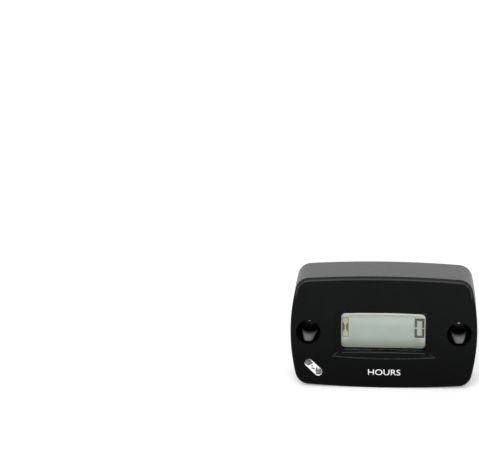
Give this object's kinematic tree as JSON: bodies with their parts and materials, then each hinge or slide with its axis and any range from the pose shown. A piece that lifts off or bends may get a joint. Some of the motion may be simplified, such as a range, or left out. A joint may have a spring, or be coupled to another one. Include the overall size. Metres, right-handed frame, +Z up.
{
  "type": "engine hour meter",
  "caption": "Small sealed black hour meter with bowed sides, a grey display in a hooded recess, and a screw well through the case at each side.",
  "frame": {"origin": "centre of the flat mounting face at the back, midway between the two screw holes", "axes": "+X to the right as the display is read, +Y out of the back into the panel, +Z up; the display faces -Y"},
  "size_m": [0.0508, 0.017, 0.0316],
  "materials": {
    "case_plastic": "fine-grained black moulding",
    "lens_clear": "clear polished plastic",
    "seal_film": "black adhesive film",
    "polariser_film": "grey-green film",
    "display_glass": "thin polished glass",
    "reflector_film": "grey-green reflector",
    "frame_plastic": "black moulding",
    "strip_rubber": "layered grey rubber",
    "board_laminate": "green solder mask",
    "screw_steel": "zinc plated",
    "chip_moulding": "black epoxy moulding",
    "crystal_steel": "plated can",
    "chip_ceramic": "tan ceramic",
    "cell_steel": "nickel-plated steel",
    "tab_nickel": "nickel strip",
    "terminal_brass": "tinned brass",
    "grommet_rubber": "black rubber",
    "card_fibre": "pressed fibre card",
    "resin_black": "cast epoxy"
  },
  "bodies": {
    "root": {"case": "case_plastic", "window_lens": "lens_clear", "lens_seal": "seal_film", "lcd_front_polariser": "polariser_film", "lcd_front_glass": "display_glass", "lcd_rear_glass": "display_glass", "lcd_reflector": "reflector_film", "lcd_frame": "frame_plastic", "connector_strips": "strip_rubber", "circuit_board": "board_laminate", "board_screws": "screw_steel", "controller_chip": "chip_moulding", "clock_crystal": "crystal_steel", "chip_capacitors": "chip_ceramic", "chip_resistors": "chip_moulding", "input_diode": "chip_moulding", "coin_cell": "cell_steel", "cell_tab_positive": "tab_nickel", "cell_tab_negative": "tab_nickel", "lead_terminal": "terminal_brass", "lead_grommet": "grommet_rubber", "barrier_card": "card_fibre", "potting_resin": "resin_black"}
  },
  "joints": []
}
